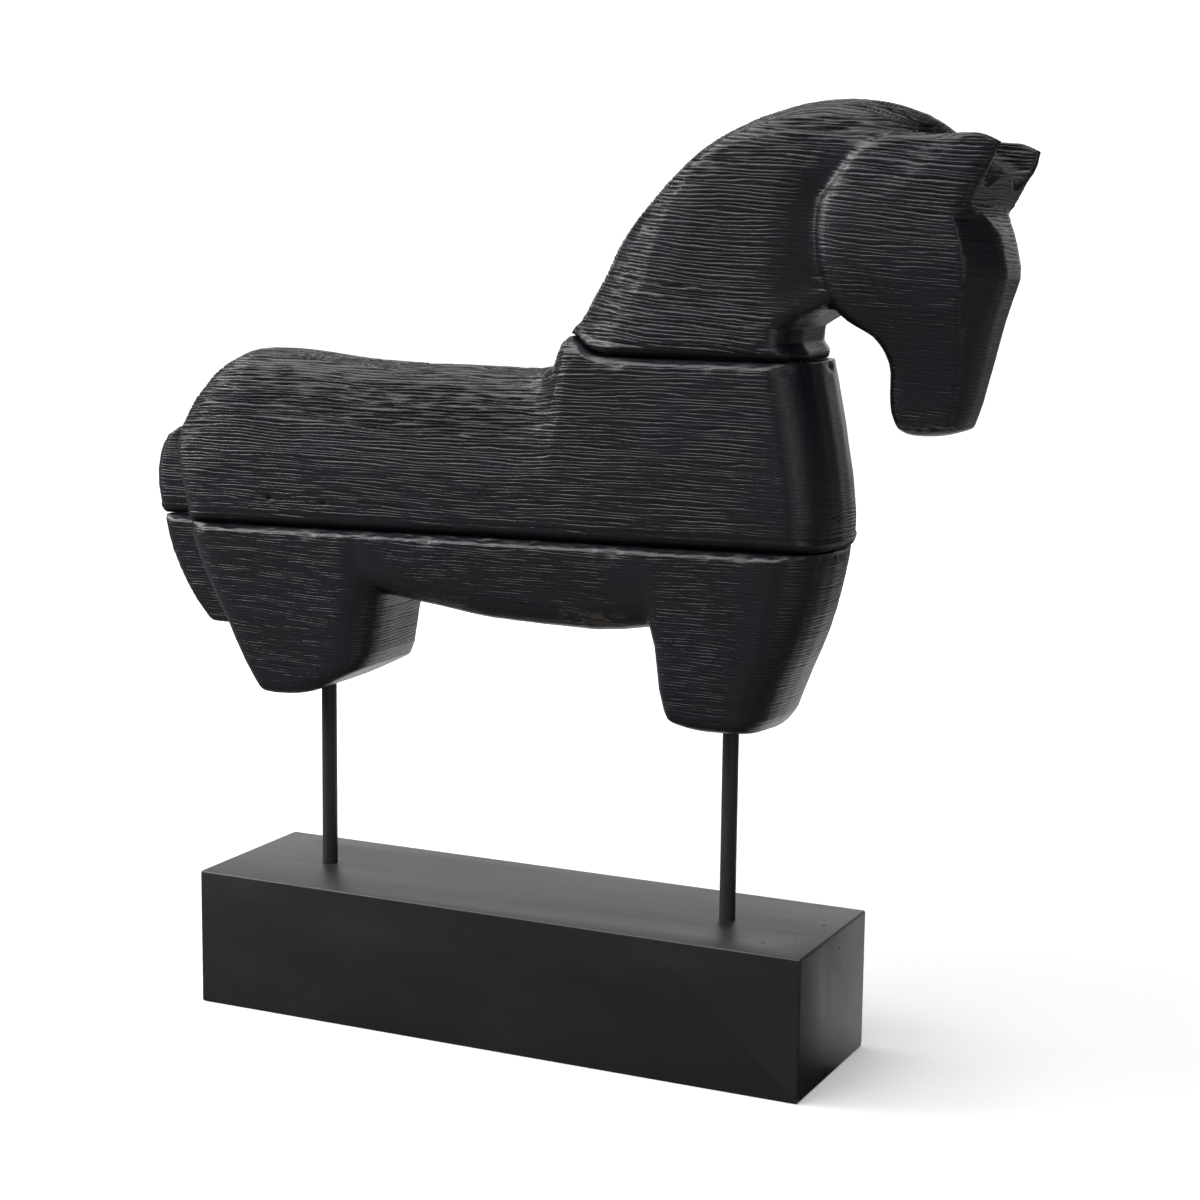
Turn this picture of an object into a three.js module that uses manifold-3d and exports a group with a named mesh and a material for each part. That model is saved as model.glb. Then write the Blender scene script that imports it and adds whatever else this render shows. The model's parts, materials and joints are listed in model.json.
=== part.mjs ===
// A carved wooden horse on a plinth, in millimetres, +Z up.
// The origin is the middle of the plinth's underside. The horse faces +X, and its sides face -Y and +Y.
// The horse is three carved blocks, dowelled and glued one on another with a V groove round each joint.
// Two round steel rods carry it: each stands in the plinth, bolted from below, and ends inside a leg.
import * as THREE from "three";
import { mergeVertices } from "three/addons/utils/BufferGeometryUtils.js";
import Module from "manifold-3d";

const wasm = await Module();
wasm.setup();

// Driving dimensions
const gap = 0.3; // clearance between neighbours that touch
const roundSides = 32;

const plinth = {
  length: 356,
  depth: 98,
  height: 75.5,
  jointToRods: 7, // from the rods' line forward to the glued joint of the two boards
  arris: 1.2, // chamfer along the outer edges
};

const rod = {
  diameter: 8.5,
  exposed: 101, // between the plinth's top and the hind sole
  inHorse: 62, // above the hind sole
  rearX: -123.5,
  frontX: 118.5,
};

const bolt = {
  thread: 4,
  engagement: 12, // length screwed into the rod
  tapDepth: 15,
  headDiameter: 7,
  headHeight: 4,
  socketAcross: 3,
  socketDepth: 2,
  clearanceHole: 4.8,
  counterbore: 11,
  counterboreDepth: 20,
  clampedWood: 10.5, // between the washer's ledge and the rod's foot
};

const washer = { outer: 9, inner: 4.6, thick: 0.8 };

const dowel = {
  diameter: 10,
  length: 40,
  lowerX: [-150, 150],
  upperX: [72, 132],
};

// The horse's own frame has its height zero at the hind sole.
const horse = {
  length: 493.4, // from the tail to the ear tips
  legsHeight: 96, // from the hind sole to the lower joint
  torsoHeight: 96.3, // between the two joints
  neckHeight: 127.7, // from the upper joint to the crest
  halfWidth: 37.5, // of the shoulders and the croup
  waist: 1.2, // how far each side of the barrel is drawn in
  soleHalfWidth: 34.5,
  bellyHalfWidth: 34.5,
  neckHalfWidth: 34,
  neckBaseHalfWidth: 36.5,
  cheekHalfWidth: 37,
  muzzleHalfWidth: 20,
  edgeHalfWidth: 2.5, // the least width left at a rounded edge
  backRounding: 55, // how far down each side the rounding of the back reaches
  backNarrowing: 33, // how much it takes off each side at the top
  crestRounding: 54,
  crestNarrowing: 30,
  browRounding: 36,
  browNarrowing: 12,
  chestRounding: 18, // how far back from the middle of the chest and the front legs their sides lie
  chestNarrowing: 30,
  faceRounding: 8, // how far back from the middle of the face its temples lie
  faceNarrowing: 24,
};

// The V groove round a joint: the edge above it is cut back further than the edge below.
const groove = { depth: 4.5, above: 6.5, below: 3 };

const tail = { halfWidth: 12 };

// The ears stand at the sides of the head's front corner, with the forelock between them.
const ears = {
  wall: 6, // thickness of an ear at its tip
  farForward: 4.5, // the ear at +Y was carved further forward, and its tip lower
  farDrop: 4,
};

const blackWood = new THREE.MeshStandardMaterial({ color: 0x1b1c1e, roughness: 0.62 });
const blackPaint = new THREE.MeshStandardMaterial({ color: 0x1f2022, roughness: 0.5 });
const blackSteel = new THREE.MeshStandardMaterial({ color: 0x17181a, roughness: 0.42, metalness: 0.6 });
const rawWood = new THREE.MeshStandardMaterial({ color: 0xb08a5b, roughness: 0.8 });
const zincSteel = new THREE.MeshStandardMaterial({ color: 0x9a9ca0, roughness: 0.35, metalness: 0.9 });

// Small helpers
const mix = (a, b, t) => a + (b - a) * t;
const clamp = (v, low, high) => Math.min(high, Math.max(low, v));
const smooth = (from, to, v) => {
  const t = clamp((v - from) / (to - from), 0, 1);
  return t * t * (3 - 2 * t);
};

// The horse's side views are drawn for a length of 493.4, joints at heights 96 and 192.3, and a crest at 320.
// These three take a drawn place to the real one, so that each block follows the sizes above.
const fitX = (x) => (x / 493.4) * horse.length;

function fitZ(z) {
  if (z < 96) return (z / 96) * horse.legsHeight;
  if (z < 192.3) return horse.legsHeight + ((z - 96) / 96.3) * horse.torsoHeight;
  return horse.legsHeight + horse.torsoHeight + ((z - 192.3) / 127.7) * horse.neckHeight;
}

function fitGeometry(geometry, shift = (...place) => place) {
  const position = geometry.attributes.position;
  for (let i = 0; i < position.count; i++) {
    const [x, y, z] = shift(position.getX(i), position.getY(i), position.getZ(i));
    position.setXYZ(i, fitX(x), y, fitZ(z));
  }
  return geometry;
}

// A solid from a geometry, and back.
function solidOf(geometry) {
  const bare = geometry.clone();
  bare.deleteAttribute("normal");
  bare.deleteAttribute("uv");
  const merged = mergeVertices(bare, 1e-4);
  return new wasm.Manifold(
    new wasm.Mesh({
      numProp: 3,
      vertProperties: new Float32Array(merged.attributes.position.array),
      triVerts: new Uint32Array(merged.index.array),
    }),
  );
}

function geometryOf(solid) {
  const mesh = solid.getMesh();
  const position = new Float32Array(mesh.numVert * 3);
  for (let i = 0; i < mesh.numVert; i++) {
    const from = mesh.numProp * i;
    position.set(mesh.vertProperties.slice(from, from + 3), 3 * i);
  }
  const geometry = new THREE.BufferGeometry();
  geometry.setAttribute("position", new THREE.BufferAttribute(position, 3));
  geometry.setIndex(new THREE.BufferAttribute(new Uint32Array(mesh.triVerts), 1));
  geometry.computeVertexNormals();
  return geometry;
}

// An upright cylinder from height low to height high.
function uprightCylinder(diameter, low, high, x, sides = roundSides) {
  const geometry = new THREE.CylinderGeometry(diameter / 2, diameter / 2, high - low, sides);
  geometry.rotateX(Math.PI / 2);
  geometry.translate(x, 0, (low + high) / 2);
  return geometry;
}

// A smooth open curve through points in the side view, sampled at a share of its length.
function sideCurve(points) {
  const curve = new THREE.SplineCurve(points.map(([x, z]) => new THREE.Vector2(x, z)));
  curve.arcLengthDivisions = 400;
  return curve;
}

// Edge profiles: how far the side is drawn in at each distance from an edge of the side view.
// Each entry is [distance from the edge, how far the side is drawn in there].
const ovalEdge = (reach, depth) =>
  [0, 0.06, 0.18, 0.38, 0.65, 1].map((share) => {
    const left = 1 - share;
    return [reach * share, depth * (1 - Math.sqrt(1 - left * left))];
  });

const roundEdge = (radius, flat = 0) => ovalEdge(radius, radius - flat);

const chamferEdge = (height) => [
  [0, groove.depth],
  [height * 0.4, groove.depth * 0.66],
  [height * 0.8, groove.depth * 0.22],
  [height * 1.25, 0],
  [height * 2.2, 0],
  [height * 3.4, 0],
];

const blendProfiles = (a, b, t) => a.map((row, k) => row.map((v, m) => mix(v, b[k][m], t)));

// A carved solid from four curves of its drawn side view and a half width for each point of it.
// Rows run from the bottom curve to the top curve, columns from the left curve to the right curve.
function carve({ bottom, top, left, right, profiles, rows, columns, halfWidth, shift }) {
  const bottomCurve = sideCurve(bottom);
  const topCurve = sideCurve(top);
  const leftCurve = sideCurve(left);
  const rightCurve = sideCurve(right);
  const across = (topCurve.getLength() + bottomCurve.getLength()) / 2;
  const corner = {
    bottomLeft: bottomCurve.getPointAt(0),
    bottomRight: bottomCurve.getPointAt(1),
    topLeft: topCurve.getPointAt(0),
    topRight: topCurve.getPointAt(1),
  };

  // An edge profile may change along its edge, but a left or right one only in how far it draws the side in.
  const at = (profile, point) => (typeof profile === "function" ? profile(point.x, point.y) : profile);

  // The shares at which grid lines lie: those of the two edge profiles, and even steps between them.
  function shares(startProfile, endProfile, steps, length) {
    const fit = Math.min(1, (0.96 * length) / (startProfile.at(-1)[0] + endProfile.at(-1)[0]));
    const start = startProfile.map(([d]) => (d * fit) / length);
    const end = endProfile.map(([d]) => 1 - (d * fit) / length).reverse();
    const from = start[start.length - 1];
    const to = end[0];
    const middle = [];
    for (let k = 1; k < steps; k++) middle.push(mix(from, to, k / steps));
    return [...start, ...middle, ...end];
  }
  const insets = (startProfile, endProfile, steps) => {
    const start = startProfile.map(([, inset]) => [inset, 0]);
    const end = endProfile.map(([, inset]) => [0, inset]).reverse();
    const middle = Array.from({ length: steps - 1 }, () => [0, 0]);
    return [...start, ...middle, ...end];
  };

  const leftMiddle = at(profiles.left, leftCurve.getPointAt(0.5));
  const rightMiddle = at(profiles.right, rightCurve.getPointAt(0.5));
  const sShares = shares(leftMiddle, rightMiddle, columns, across);
  const grid = sShares.map((s, i) => {
    const low = bottomCurve.getPointAt(s);
    const high = topCurve.getPointAt(s);
    const topProfile = at(profiles.top, high);
    const height = Math.max(1, low.distanceTo(high));
    const tShares = shares(profiles.bottom, topProfile, rows, height);
    const tInsets = insets(profiles.bottom, topProfile, rows);
    return tShares.map((t, j) => {
      const near = leftCurve.getPointAt(t);
      const far = rightCurve.getPointAt(t);
      const coons = (axis) =>
        mix(low[axis], high[axis], t) +
        mix(near[axis], far[axis], s) -
        mix(
          mix(corner.bottomLeft[axis], corner.bottomRight[axis], s),
          mix(corner.topLeft[axis], corner.topRight[axis], s),
          t,
        );
      const x = coons("x");
      const z = coons("y");
      const sInsets = insets(at(profiles.left, near), at(profiles.right, far), columns);
      const drops = [...sInsets[i], ...tInsets[j]];
      const drop = Math.pow(
        drops.reduce((sum, d) => sum + d ** 3, 0),
        1 / 3,
      );
      return [x, Math.max(horse.edgeHalfWidth, halfWidth(x, z) - drop), z];
    });
  });

  const m = grid.length;
  const n = grid[0].length;
  const places = [-1, 1].flatMap((side) => grid.flat().map(([x, y, z]) => [x, side * y, z]));
  const geometry = new THREE.BufferGeometry();
  geometry.setAttribute("position", new THREE.Float32BufferAttribute(places.flat(), 3));
  fitGeometry(geometry, shift);
  const near = (i, j) => i * n + j;
  const far = (i, j) => m * n + i * n + j;
  const place = (k) => new THREE.Vector3().fromBufferAttribute(geometry.attributes.position, k);
  const normal = (...three) => new THREE.Triangle(...three.map(place)).getNormal(new THREE.Vector3());
  const index = [];
  // Each quad is split along the diagonal that folds it less.
  function quad(a, b, c, d) {
    const foldAC = normal(a, b, c).dot(normal(a, c, d));
    const foldBD = normal(a, b, d).dot(normal(b, c, d));
    if (foldAC >= foldBD) index.push(a, b, c, a, c, d);
    else index.push(a, b, d, b, c, d);
  }
  for (let i = 0; i < m - 1; i++) {
    for (let j = 0; j < n - 1; j++) {
      quad(near(i, j), near(i + 1, j), near(i + 1, j + 1), near(i, j + 1));
      quad(far(i, j), far(i, j + 1), far(i + 1, j + 1), far(i + 1, j));
    }
    quad(near(i, 0), far(i, 0), far(i + 1, 0), near(i + 1, 0));
    quad(near(i, n - 1), near(i + 1, n - 1), far(i + 1, n - 1), far(i, n - 1));
  }
  for (let j = 0; j < n - 1; j++) {
    quad(near(0, j), near(0, j + 1), far(0, j + 1), far(0, j));
    quad(near(m - 1, j), far(m - 1, j), far(m - 1, j + 1), near(m - 1, j + 1));
  }
  geometry.setIndex(index);
  return solidOf(geometry);
}

// Drawn heights of the joints: the lower one rises slowly to the chest, the upper one curls up at its rear.
const lowerSeamAt = (x) => 96 + 0.018 * x;
const upperSeamAt = (x) => 192.3 + 9.5 * smooth(56, 34, x);

// The upper joint's line, shared by the blocks above and below it
const upperJointPlaces = [29, 34, 39, 44, 49, 54, 60, 75, 97, 120];
const upperJoint = (to) => [...upperJointPlaces, to].map((x) => [x, upperSeamAt(x)]);

// All that lies between the upper joint, moved up by an offset, and a level above or below it
function upperJointSide(offset, level) {
  const line = [-20, ...upperJointPlaces, 300].map((x) => [x, upperSeamAt(x) + offset]);
  const outline = [...line, [300, level], [-20, level]];
  const shape = new THREE.Shape(outline.map(([x, z]) => new THREE.Vector2(x, z)));
  const across = 3 * horse.halfWidth;
  const geometry = new THREE.ExtrudeGeometry(shape, { depth: across, bevelEnabled: false });
  geometry.rotateX(Math.PI / 2);
  geometry.translate(0, across / 2, 0);
  return solidOf(fitGeometry(geometry));
}

// Chest and front legs stand forward in the middle, like a blunt bow, and turn back to the sides.
const bow = [[0, 1], [0.11, 0.63], [0.25, 0.38], [0.44, 0.22], [0.7, 0.08], [1, 0]].map(([reach, share]) => [
  reach * horse.chestRounding,
  share * horse.chestNarrowing,
]);

// Lower block: both pairs of legs and the belly between them
function lowerBlock() {
  const seam = (x) => [x, lowerSeamAt(x) - gap / 2];
  const legWidth = (x, z) =>
    mix(horse.soleHalfWidth, horse.halfWidth, Math.pow(clamp(z / lowerSeamAt(x), 0, 1), 0.8));
  const hindLeg = carve({
    bottom: [[-151, 0.6], [-141, -0.8], [-128, 0], [-117, 2.5], [-104, 8.5], [-92, 14.5], [-83, 19]],
    top: [seam(-197), seam(-130), seam(-60)],
    left: [
      [-151, 0.6], [-156, 7.2], [-162, 16], [-167.2, 25.5], [-173.5, 38.5], [-181.4, 52], [-189, 67],
      [-194.5, 81], seam(-197),
    ],
    right: [[-83, 19], [-79, 28], [-77, 40], [-73.5, 55], [-66.5, 72], seam(-60)],
    profiles: {
      left: roundEdge(15),
      right: roundEdge(24),
      bottom: roundEdge(8.5),
      top: chamferEdge(groove.below),
    },
    rows: 7,
    columns: 6,
    halfWidth: legWidth,
  });
  const frontLeg = carve({
    bottom: [[97, 6.8], [105, 4.7], [113, 3.8], [122, 3.8], [132, 4.1], [145, 5]],
    top: [seam(73), seam(125), seam(178.2)],
    left: [[97, 6.8], [93.3, 12], [90.5, 21], [88.6, 30], [87.8, 42], [84, 56], [79, 75], seam(73)],
    right: [
      [145, 5], [151, 13], [156.6, 28], [163.3, 43.5], [169.6, 60], [173.8, 76], [176.6, 90], seam(178.2),
    ],
    profiles: {
      left: roundEdge(9),
      right: bow,
      bottom: roundEdge(9),
      top: chamferEdge(groove.below),
    },
    rows: 7,
    columns: 6,
    halfWidth: legWidth,
  });
  const belly = carve({
    bottom: [
      [-85, 60], [-60, 57.5], [-36, 54.5], [-16, 52], [2, 50.8], [36, 50], [54, 50], [71, 52], [100, 57],
    ],
    top: [seam(-85), seam(0), seam(100)],
    left: [[-85, 60], seam(-85)],
    right: [[100, 57], seam(100)],
    profiles: {
      left: roundEdge(4, 3),
      right: roundEdge(4, 3),
      bottom: roundEdge(14),
      top: chamferEdge(groove.below),
    },
    rows: 3,
    columns: 12,
    halfWidth: (x, z) =>
      mix(horse.bellyHalfWidth, horse.halfWidth - 0.5, smooth(-42, -4, z - lowerSeamAt(x))),
  });
  const tailEnd = carve({
    bottom: [[-196, 33.2], [-188, 32.2], [-170, 33]],
    top: [seam(-227.5), seam(-200), seam(-180)],
    left: [[-196, 33.2], [-202.5, 39.5], [-209.5, 48.3], [-217, 60], [-223.8, 75], seam(-227.5)],
    right: [[-170, 33], [-176, 60], seam(-180)],
    profiles: {
      left: roundEdge(7),
      right: roundEdge(3),
      bottom: roundEdge(4),
      top: chamferEdge(groove.below),
    },
    rows: 5,
    columns: 2,
    halfWidth: () => tail.halfWidth,
  });
  return hindLeg.add(frontLeg).add(belly).add(tailEnd);
}

// Middle block: the barrel from the chest to the croup
function middleBlock() {
  const seam = (x) => [x, lowerSeamAt(x) + gap / 2];
  const joint = upperJoint(165.5);
  const back = ovalEdge(horse.backRounding, horse.backNarrowing);
  const barrel = carve({
    bottom: [seam(-196), seam(0), seam(178.2)],
    top: [
      [-199, 153], [-192.5, 168.5], [-181, 180], [-164.5, 187], [-146, 187.5], [-125, 186.6], [-100, 184.3],
      [-70, 183], [-35, 182.8], [-8, 182.8], [7, 182.6], [19, 185.6], [26, 193.5], ...joint,
    ],
    left: [seam(-196), [-200, 108], [-202.6, 124], [-203.2, 140], [-199, 153]],
    right: [seam(178.2), [179.3, 112], [177.5, 130], [175, 145], [172, 163], [168.5, 179], joint.at(-1)],
    profiles: {
      left: roundEdge(16),
      right: bow,
      bottom: chamferEdge(groove.above),
      top: (x) => blendProfiles(back, chamferEdge(groove.below), smooth(20, 44, x)),
    },
    rows: 5,
    columns: 38,
    halfWidth: (x) => horse.halfWidth - horse.waist * Math.exp(-(((x + 20) / 70) ** 2)),
  });
  const dock = carve({
    bottom: [seam(-228), seam(-210), seam(-185)],
    top: [[-213.5, 141.5], [-203, 146], [-185, 147]],
    left: [seam(-228), [-231.2, 106], [-231.4, 118], [-227.8, 131], [-222, 138.5], [-213.5, 141.5]],
    right: [seam(-185), [-185, 120], [-185, 147]],
    profiles: {
      left: roundEdge(7),
      right: roundEdge(3),
      bottom: chamferEdge(groove.above),
      top: roundEdge(4),
    },
    rows: 4,
    columns: 2,
    halfWidth: () => tail.halfWidth,
  });
  return barrel.subtract(upperJointSide(-gap / 2, 260)).add(dock);
}

// Upper block: the neck, and the head that hangs from it
function upperBlock() {
  const joint = upperJoint(161);
  // Along the neck's front edge: rounded at the throat, and a shallow trough beside the cheek above it
  const throat = [[0, 21], [4, 9], [9, 3], [14, 0.8], [21, 0], [30, 0], [42, 0]];
  const trough = [[0, 6.8], [4, 6.8], [9, 6.6], [14, 6], [21, 4.2], [30, 1.6], [42, 0]];
  const plain = trough.map(([distance]) => [distance, 0]);
  // The head's upper edge: rounded at the very top, then leaning in gently down to the middle of the cheek
  const lean = [[0, 1], [0.022, 0.76], [0.07, 0.58], [0.17, 0.36], [0.4, 0.17], [1, 0]];
  const brow = lean.map(([reach, share]) => [reach * horse.browRounding, share * horse.browNarrowing]);
  // The front of the face: its middle stands forward and its sides turn back to the temples
  const turn = [[0, 1], [0.15, 0.71], [0.4, 0.4], [0.7, 0.16], [1, 0], [1.25, 0]];
  const face = (size) =>
    turn.map(([reach, share]) => [size * reach * horse.faceRounding, size * share * horse.faceNarrowing]);
  const muzzleSize = horse.muzzleHalfWidth / horse.cheekHalfWidth;
  const forelock = [[0, 3], [0.8, 1.4], [1.8, 0.5], [3, 0], [6, 0], [10, 0]];
  const neck = carve({
    bottom: joint,
    top: [
      [104.5, 295.3], [117.5, 304.5], [135.2, 312.5], [151, 317.1], [166.5, 319.5], [182, 319.7],
      [197, 317.6], [213, 312.8], [228, 304], [238, 293],
    ],
    left: [
      joint[0], [36, 210], [39.8, 218.1], [47.3, 230.8], [54.8, 245.2], [65.8, 259.7], [80.4, 274.4],
      [94.9, 287.8], [104.5, 295.3],
    ],
    right: [
      joint.at(-1), [160.5, 197.5], [158, 202], [158.5, 207.5], [163, 212], [171, 216], [180, 226],
      [181.5, 240], [181, 256], [184, 271], [192, 283], [205, 291], [222, 293], [238, 293],
    ],
    profiles: {
      left: ovalEdge(horse.crestRounding, horse.crestNarrowing),
      right: (x, z) =>
        blendProfiles(throat, blendProfiles(trough, plain, smooth(262, 292, z)), smooth(205, 230, z)),
      bottom: chamferEdge(groove.above),
      top: ovalEdge(horse.crestRounding, horse.crestNarrowing),
    },
    rows: 16,
    columns: 10,
    halfWidth: (x, z) => mix(horse.neckHalfWidth, horse.neckBaseHalfWidth, smooth(235, 195, z)),
  });
  const head = carve({
    bottom: [[207, 162], [213.5, 158.6], [223, 158], [234, 159.3], [240.2, 162]],
    top: [[199, 301], [210, 303], [224, 303.7], [240, 303.5], [251, 302.8], [260.5, 299]],
    left: [
      [207, 162], [203.7, 170], [203, 180], [203.5, 190], [201.5, 198], [195.5, 206], [187, 210.5],
      [179.5, 215.5], [173.5, 224], [170, 235], [168, 247], [167.5, 259], [169, 270], [173, 280], [180, 289],
      [189, 297], [199, 301],
    ],
    right: [
      [240.2, 162], [244, 172], [246.9, 185], [250, 198], [253.2, 212], [256.7, 225], [259.7, 236],
      [258.2, 246], [255.6, 256], [250.4, 264], [246.3, 269.5], [247.4, 272.5], [250.3, 279], [255.5, 288],
      [260.5, 299],
    ],
    profiles: {
      left: roundEdge(11),
      right: (x, z) => {
        const size = mix(muzzleSize, 1, smooth(160, 252, z));
        return blendProfiles(face(size), forelock, smooth(258, 270, z));
      },
      bottom: roundEdge(7),
      top: (x) => blendProfiles(brow, roundEdge(3.5), smooth(226, 250, x)),
    },
    rows: 24,
    columns: 6,
    halfWidth: (x, z) => mix(horse.muzzleHalfWidth, horse.cheekHalfWidth, smooth(160, 252, z)),
    shift: farEarShift,
  });
  return neck.subtract(upperJointSide(gap / 2, 100)).add(head).subtract(earHollow());
}

// How the ear at +Y differs from the one at -Y
function farEarShift(x, y, z) {
  const share = clamp((y + horse.cheekHalfWidth) / (2 * horse.cheekHalfWidth), 0, 1) * smooth(222, 246, x);
  const forward = smooth(264, 271, z) * (1 - 0.7 * smooth(285, 300, z));
  return [x + ears.farForward * share * forward, y, z - ears.farDrop * share * smooth(280, 300, z)];
}

// The hollow between the ears: a W across the horse, with the forelock in its middle, climbing to the rear.
// The outline's points are shares of its half width, and drawn heights where it meets the face at x = 253.
function earHollow() {
  const half = [
    [0, 284.5], [0.26, 283.7], [0.45, 280.5], [0.6, 276.3], [0.71, 275.5], [0.84, 278], [0.935, 283.5],
    [1, 295.5], [1, 340],
  ];
  const outline = [...half, ...half.slice(1).map(([share, z]) => [-share, z]).reverse()];
  const halfWidth = horse.cheekHalfWidth - ears.wall;
  const shape = new THREE.Shape(outline.map(([share, z]) => new THREE.Vector2(share * halfWidth, z)));
  const reach = { rear: 218, front: 278, slope: 0.76 };
  const geometry = new THREE.ExtrudeGeometry(shape, { depth: reach.front - reach.rear, bevelEnabled: false });
  // The extrusion's x, y, z become the horse's y, z, x, and its height falls towards the front.
  const rise = (253 - reach.rear) * reach.slope;
  const matrix = new THREE.Matrix4();
  matrix.set(0, 0, 1, reach.rear, 1, 0, 0, 0, 0, 1, -reach.slope, rise, 0, 0, 0, 1);
  geometry.applyMatrix4(matrix);
  return solidOf(fitGeometry(geometry, farEarShift));
}

// Holes for the rods and the dowels, in the horse's own frame
function rodHole(x) {
  return solidOf(uprightCylinder(rod.diameter + 2 * gap, -rod.exposed / 2, rod.inHorse + gap, x));
}

// A dowel has its middle at the joint that it crosses.
const lowerJointAt = (x) => fitZ(lowerSeamAt(x));
const upperJointAt = (x) => fitZ(upperSeamAt(x));

function dowelGeometry(x, height, clearance = 0) {
  const reach = dowel.length / 2 + clearance;
  return uprightCylinder(dowel.diameter + 2 * clearance, height - reach, height + reach, x);
}

const figurine = new THREE.Group();
const horseGroup = new THREE.Group();
horseGroup.position.z = plinth.height + rod.exposed;
figurine.add(horseGroup);

function addPiece(parent, name, geometry, material) {
  const mesh = new THREE.Mesh(geometry, material);
  mesh.name = name;
  parent.add(mesh);
  return mesh;
}

// The three blocks
const drilled = (solid, holes) => geometryOf(holes.reduce((rest, hole) => rest.subtract(hole), solid));
const rodHoles = [rod.rearX, rod.frontX].map(rodHole);
const lowerHoles = dowel.lowerX.map((x) => solidOf(dowelGeometry(x, lowerJointAt(x), gap)));
const upperHoles = dowel.upperX.map((x) => solidOf(dowelGeometry(x, upperJointAt(x), gap)));
const legsAndBelly = drilled(lowerBlock(), [...rodHoles, ...lowerHoles]);
const torso = drilled(middleBlock(), [...lowerHoles, ...upperHoles]);
const neckAndHead = drilled(upperBlock(), upperHoles);
addPiece(horseGroup, "legs_and_belly_block", legsAndBelly, blackWood);
addPiece(horseGroup, "torso_block", torso, blackWood);
addPiece(horseGroup, "neck_and_head_block", neckAndHead, blackWood);

// Dowels across the joints
["rear", "front"].forEach((place, k) => {
  const lowerX = dowel.lowerX[k];
  const upperX = dowel.upperX[k];
  addPiece(horseGroup, `lower_joint_${place}_dowel`, dowelGeometry(lowerX, lowerJointAt(lowerX)), rawWood);
  addPiece(horseGroup, `upper_joint_${place}_dowel`, dowelGeometry(upperX, upperJointAt(upperX)), rawWood);
});

// Rods, tapped at the foot for their bolts
const rodFoot = bolt.counterboreDepth + bolt.clampedWood;
const rodTop = plinth.height + rod.exposed + rod.inHorse;
function rodGeometry(x) {
  const shaft = solidOf(uprightCylinder(rod.diameter, rodFoot, rodTop, x));
  const tapped = solidOf(
    uprightCylinder(bolt.thread + 2 * gap, rodFoot - bolt.tapDepth, rodFoot + bolt.tapDepth, x),
  );
  return geometryOf(shaft.subtract(tapped));
}

// A socket-head bolt from below, with its washer against the counterbore's ledge
const ledge = bolt.counterboreDepth;
function boltGeometry(x) {
  const headTop = ledge - washer.thick - 2 * gap;
  const headFoot = headTop - bolt.headHeight;
  const socketCorners = bolt.socketAcross / Math.cos(Math.PI / 6);
  const head = solidOf(uprightCylinder(bolt.headDiameter, headFoot, headTop, x));
  const shank = solidOf(uprightCylinder(bolt.thread, headTop - 1, rodFoot + bolt.engagement, x, 24));
  const socket = solidOf(uprightCylinder(socketCorners, headFoot - 1, headFoot + bolt.socketDepth, x, 6));
  return geometryOf(head.add(shank).subtract(socket));
}

function washerGeometry(x) {
  const disc = solidOf(uprightCylinder(washer.outer, ledge - washer.thick - gap, ledge - gap, x));
  const hole = solidOf(uprightCylinder(washer.inner, ledge - 2 * washer.thick, ledge + washer.thick, x, 24));
  return geometryOf(disc.subtract(hole));
}

[["rear", rod.rearX], ["front", rod.frontX]].forEach(([place, x]) => {
  addPiece(figurine, `${place}_rod`, rodGeometry(x), blackSteel);
  addPiece(figurine, `${place}_rod_bolt`, boltGeometry(x), zincSteel);
  addPiece(figurine, `${place}_rod_washer`, washerGeometry(x), zincSteel);
});

// Plinth: two boards glued side by side, the rods standing in the rear one.
// A board lies between its glued face and its outer face, whose long arrises are chamfered.
function board(glued, outer) {
  const inward = Math.sign(glued - outer) * plinth.arris;
  const height = plinth.height;
  const profile = [
    [glued, 0],
    [outer + inward, 0],
    [outer, plinth.arris],
    [outer, height - plinth.arris],
    [outer + inward, height],
    [glued, height],
  ];
  const shape = new THREE.Shape(profile.map(([y, z]) => new THREE.Vector2(y, z)));
  const geometry = new THREE.ExtrudeGeometry(shape, { depth: plinth.length, bevelEnabled: false });
  // The extrusion's own axes x, y, z become the plinth's y, z, x.
  const matrix = new THREE.Matrix4();
  matrix.set(0, 0, 1, -plinth.length / 2, 1, 0, 0, 0, 0, 1, 0, 0, 0, 0, 0, 1);
  return geometry.applyMatrix4(matrix);
}

const glueLine = -plinth.jointToRods;
const frontBoard = board(glueLine - gap / 2, -plinth.depth / 2);
const rearBoard = board(glueLine + gap / 2, plinth.depth / 2);

const rearBoardHoles = [rod.rearX, rod.frontX].flatMap((x) => [
  solidOf(uprightCylinder(rod.diameter + 2 * gap, rodFoot - gap, plinth.height + rod.diameter, x)),
  solidOf(uprightCylinder(bolt.clearanceHole, -ledge, plinth.height, x, 24)),
  solidOf(uprightCylinder(bolt.counterbore, -ledge, ledge, x)),
]);
addPiece(figurine, "plinth_front_board", frontBoard, blackPaint);
addPiece(figurine, "plinth_rear_board", drilled(solidOf(rearBoard), rearBoardHoles), blackPaint);

export default figurine;
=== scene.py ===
import json
import math
import time

import bmesh
import bpy
from mathutils import Matrix, Vector, noise

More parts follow.
